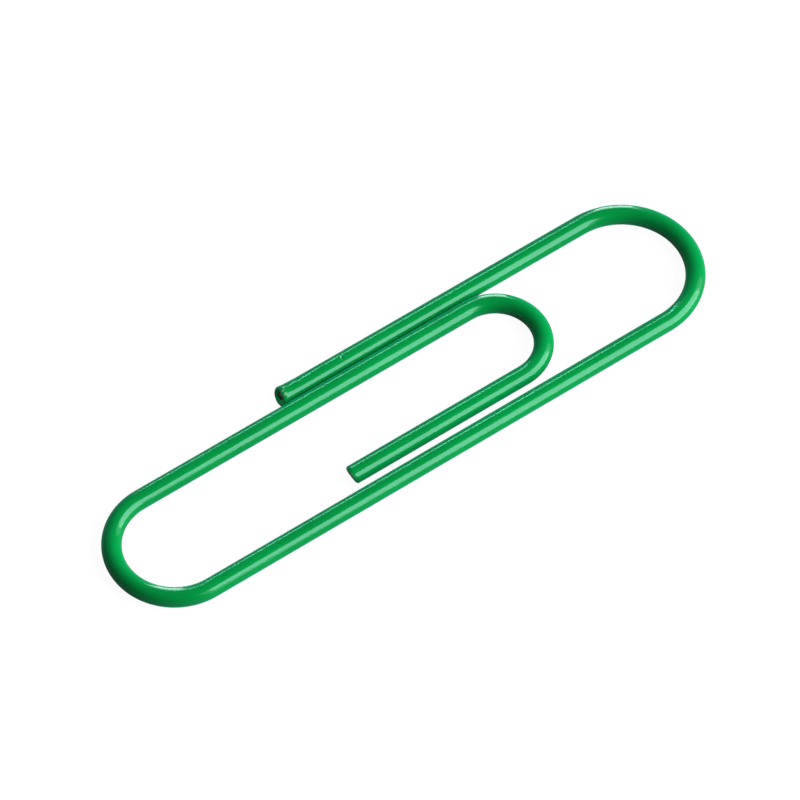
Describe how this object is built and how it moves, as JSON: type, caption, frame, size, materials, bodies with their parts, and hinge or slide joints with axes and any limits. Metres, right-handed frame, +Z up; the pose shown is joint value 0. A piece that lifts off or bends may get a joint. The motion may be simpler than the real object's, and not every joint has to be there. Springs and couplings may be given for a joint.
{
  "type": "paper clip",
  "caption": "Double-loop paper clip of round steel wire in a glossy green vinyl coating, with a springy tongue that lifts to grip sheets of paper.",
  "frame": {"origin": "on the surface that the clip lies on, under the middle of its length and width", "axes": "+X along the clip towards its big bend, +Y towards the free leg, +Z up from the surface"},
  "size_m": [0.05, 0.0118, 0.0014],
  "materials": {
    "vinyl_coating": "glossy green vinyl",
    "steel_core": "dull sheared steel"
  },
  "bodies": {
    "long_leg": {"long_leg_core": "steel_core", "long_leg_coating": "vinyl_coating"},
    "free_leg": {"free_leg_core": "steel_core", "free_leg_coating": "vinyl_coating"},
    "tongue": {"tongue_core": "steel_core", "tongue_coating": "vinyl_coating"},
    "tongue_tip": {"tongue_tip_core": "steel_core", "tongue_tip_coating": "vinyl_coating"}
  },
  "joints": [
    {"name": "tongue_flex", "type": "hinge", "parent": "long_leg", "child": "tongue", "pos_m": [-0.02429, -0.00073, 0.00072], "axis": [0, -1, 0], "range_deg": [0, 15], "stiffness_Nm_per_rad": 0.7},
    {"name": "free_leg_flex", "type": "hinge", "parent": "long_leg", "child": "free_leg", "pos_m": [0.02429, 0, 0.00072], "axis": [0, 1, 0], "range_deg": [0, 12], "stiffness_Nm_per_rad": 0.9},
    {"name": "tip_flex", "type": "hinge", "parent": "tongue", "child": "tongue_tip", "pos_m": [0.01161, 0.00031, 0.00072], "axis": [0, 1, 0], "range_deg": [0, 8], "stiffness_Nm_per_rad": 1.4}
  ]
}
